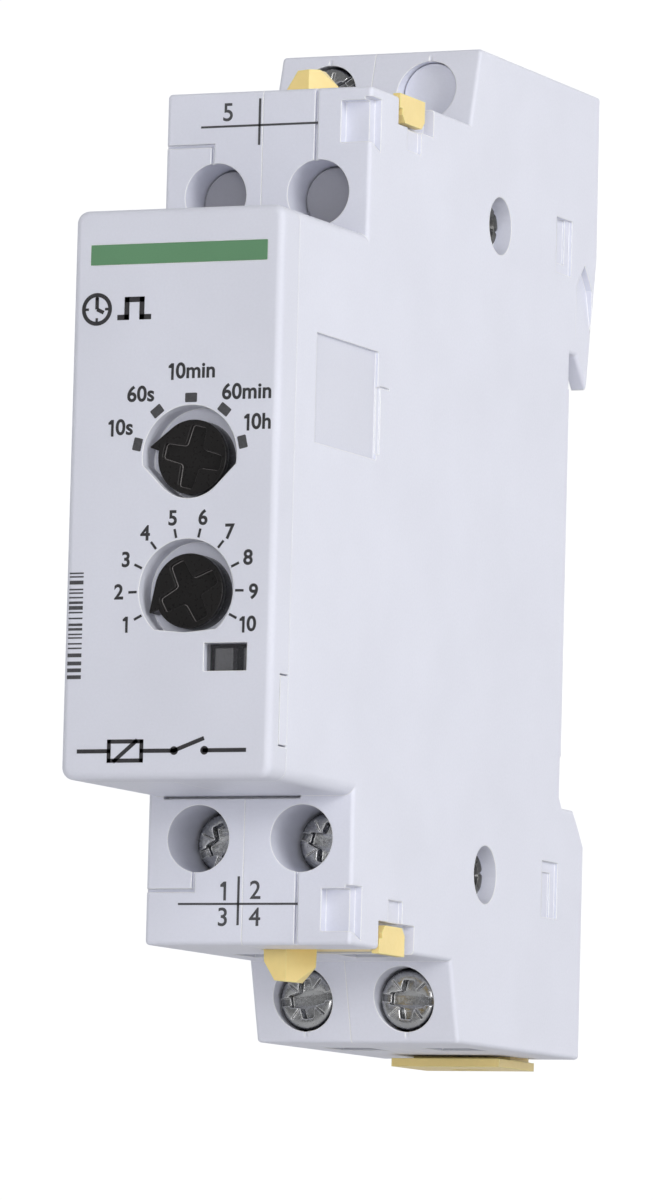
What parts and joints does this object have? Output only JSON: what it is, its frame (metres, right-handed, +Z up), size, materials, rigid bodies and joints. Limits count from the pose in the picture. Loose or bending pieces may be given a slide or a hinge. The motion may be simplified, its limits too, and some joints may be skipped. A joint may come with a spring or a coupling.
{
  "type": "din rail timer",
  "caption": "One-module time relay for a 35 mm mounting rail, with two setting dials, clamp terminals in stepped tiers, sliding latching clips and a sprung rail clip.",
  "frame": {"origin": "centre of the seat face that lies on the mounting rail", "axes": "+Y out of the seat into the rail, +X to the right seen from the front, +Z up"},
  "size_m": [0.018, 0.0657, 0.083],
  "materials": {
    "housing_plastic": "matte",
    "cover_plastic": "matte",
    "stripe_green": "satin",
    "knob_black": "satin",
    "window_smoked": "gloss",
    "device_plastic": "matte",
    "clip_amber": "satin",
    "spring_steel": "satin",
    "rivet_steel": "satin",
    "plug_grey": "matte",
    "board_green": "satin",
    "led_green": "gloss",
    "led_amber": "gloss",
    "chip_black": "matte",
    "can_aluminium": "satin",
    "resistor_body": "matte",
    "capacitor_box": "matte",
    "varistor_blue": "satin",
    "relay_case_plastic": "satin",
    "coil_copper": "satin",
    "relay_iron": "satin",
    "contact_brass": "satin",
    "screw_zinc": "satin",
    "cage_steel": "satin"
  },
  "bodies": {
    "housing": {"board_connector": "device_plastic", "control_board": "board_green", "din_clip_spring": "spring_steel", "driver_chip": "chip_black", "dropper_resistors": "resistor_body", "electrolytic_capacitor": "can_aluminium", "front_cover": "cover_plastic", "front_stripe": "stripe_green", "left_housing_shell": "housing_plastic", "lower_front_left_contact_plate": "contact_brass", "lower_front_right_contact_plate": "contact_brass", "lower_rear_left_contact_plate": "contact_brass", "lower_rear_right_contact_plate": "contact_brass", "lower_rivet": "rivet_steel", "main_circuit_board": "board_green", "output_led": "led_amber", "range_switch": "device_plastic", "relay_base": "relay_case_plastic", "relay_case": "relay_case_plastic", "relay_coil": "coil_copper", "relay_rest_contact": "contact_brass", "relay_working_contact": "contact_brass", "relay_yoke": "relay_iron", "right_housing_shell": "housing_plastic", "status_window_lens": "window_smoked", "supply_capacitor": "capacitor_box", "supply_led": "led_green", "time_potentiometer": "device_plastic", "timing_chip": "chip_black", "upper_front_left_blanking_plug": "plug_grey", "upper_front_right_blanking_plug": "plug_grey", "upper_rear_left_contact_plate": "contact_brass", "upper_rear_right_blanking_plug": "housing_plastic", "upper_rivet": "rivet_steel", "varistor": "varistor_blue"},
    "range_selector_knob": {"range_selector_knob": "knob_black"},
    "time_setting_knob": {"time_setting_knob": "knob_black"},
    "upper_latching_clip": {"upper_latching_clip": "clip_amber"},
    "lower_latching_clip": {"lower_latching_clip": "clip_amber"},
    "din_rail_clip": {"din_rail_clip": "clip_amber"},
    "lower_front_left_screw": {"lower_front_left_terminal_screw": "screw_zinc"},
    "lower_front_left_cage": {"lower_front_left_terminal_cage": "cage_steel"},
    "lower_front_right_screw": {"lower_front_right_terminal_screw": "screw_zinc"},
    "lower_front_right_cage": {"lower_front_right_terminal_cage": "cage_steel"},
    "lower_rear_left_screw": {"lower_rear_left_terminal_screw": "screw_zinc"},
    "lower_rear_left_cage": {"lower_rear_left_terminal_cage": "cage_steel"},
    "lower_rear_right_screw": {"lower_rear_right_terminal_screw": "screw_zinc"},
    "lower_rear_right_cage": {"lower_rear_right_terminal_cage": "cage_steel"},
    "upper_rear_left_screw": {"upper_rear_left_terminal_screw": "screw_zinc"},
    "upper_rear_left_cage": {"upper_rear_left_terminal_cage": "cage_steel"},
    "relay_contact_arm": {"relay_armature": "relay_iron", "relay_moving_contact": "contact_brass"}
  },
  "joints": [
    {"name": "range_selector_turn", "type": "hinge", "parent": "housing", "child": "range_selector_knob", "pos_m": [0.00145, -0.0597, 0.00279], "axis": [0, 1, 0], "range_deg": [0, 154.4]},
    {"name": "time_setting_turn", "type": "hinge", "parent": "housing", "child": "time_setting_knob", "pos_m": [0.00145, -0.0597, -0.00774], "axis": [0, 1, 0], "range_deg": [0, 234.4]},
    {"name": "upper_latch_slide", "type": "slide", "parent": "housing", "child": "upper_latching_clip", "axis": [1, 0, 0], "range_m": [0, 0.004]},
    {"name": "lower_latch_slide", "type": "slide", "parent": "housing", "child": "lower_latching_clip", "axis": [1, 0, 0], "range_m": [0, 0.004]},
    {"name": "rail_clip_slide", "type": "slide", "parent": "housing", "child": "din_rail_clip", "axis": [0, 0, -1], "range_m": [0, 0.004], "stiffness_N_per_m": 1000, "springref_m": -0.002, "deforming": ["din_clip_spring"]},
    {"name": "relay_armature_rock", "type": "hinge", "parent": "housing", "child": "relay_contact_arm", "pos_m": [0.0016, -0.0285, 0.0054], "axis": [-1, 0, 0], "range_deg": [0, 4.9], "stiffness_Nm_per_rad": 0.02, "springref_deg": -2.86},
    {"name": "lower_front_left_screw_turn", "type": "hinge", "parent": "housing", "child": "lower_front_left_screw", "pos_m": [-0.0045, -0.0385, -0.0259], "axis": [0, 1, 0], "range_deg": [0, 2041]},
    {"name": "lower_front_left_cage_slide", "type": "slide", "parent": "housing", "child": "lower_front_left_cage", "axis": [0, -1, 0], "range_m": [0, 0.0034]},
    {"name": "lower_front_right_screw_turn", "type": "hinge", "parent": "housing", "child": "lower_front_right_screw", "pos_m": [0.0045, -0.0385, -0.0259], "axis": [0, 1, 0], "range_deg": [0, 2041]},
    {"name": "lower_front_right_cage_slide", "type": "slide", "parent": "housing", "child": "lower_front_right_cage", "axis": [0, -1, 0], "range_m": [0, 0.0034]},
    {"name": "lower_rear_left_screw_turn", "type": "hinge", "parent": "housing", "child": "lower_rear_left_screw", "pos_m": [-0.0045, -0.0213, -0.03745], "axis": [0, 1, 0], "range_deg": [0, 2041]},
    {"name": "lower_rear_left_cage_slide", "type": "slide", "parent": "housing", "child": "lower_rear_left_cage", "axis": [0, -1, 0], "range_m": [0, 0.0034]},
    {"name": "lower_rear_right_screw_turn", "type": "hinge", "parent": "housing", "child": "lower_rear_right_screw", "pos_m": [0.0045, -0.0213, -0.03745], "axis": [0, 1, 0], "range_deg": [0, 2041]},
    {"name": "lower_rear_right_cage_slide", "type": "slide", "parent": "housing", "child": "lower_rear_right_cage", "axis": [0, -1, 0], "range_m": [0, 0.0034]},
    {"name": "upper_rear_left_screw_turn", "type": "hinge", "parent": "housing", "child": "upper_rear_left_screw", "pos_m": [-0.0045, -0.0213, 0.03745], "axis": [0, 1, 0], "range_deg": [0, 2041]},
    {"name": "upper_rear_left_cage_slide", "type": "slide", "parent": "housing", "child": "upper_rear_left_cage", "axis": [0, -1, 0], "range_m": [0, 0.0034]}
  ],
  "couplings": [
    {"joint": "lower_front_left_screw_turn", "follows": "lower_front_left_cage_slide", "rad_per_m": 10472},
    {"joint": "lower_front_right_screw_turn", "follows": "lower_front_right_cage_slide", "rad_per_m": 10472},
    {"joint": "lower_rear_left_screw_turn", "follows": "lower_rear_left_cage_slide", "rad_per_m": 10472},
    {"joint": "lower_rear_right_screw_turn", "follows": "lower_rear_right_cage_slide", "rad_per_m": 10472},
    {"joint": "upper_rear_left_screw_turn", "follows": "upper_rear_left_cage_slide", "rad_per_m": 10472}
  ]
}
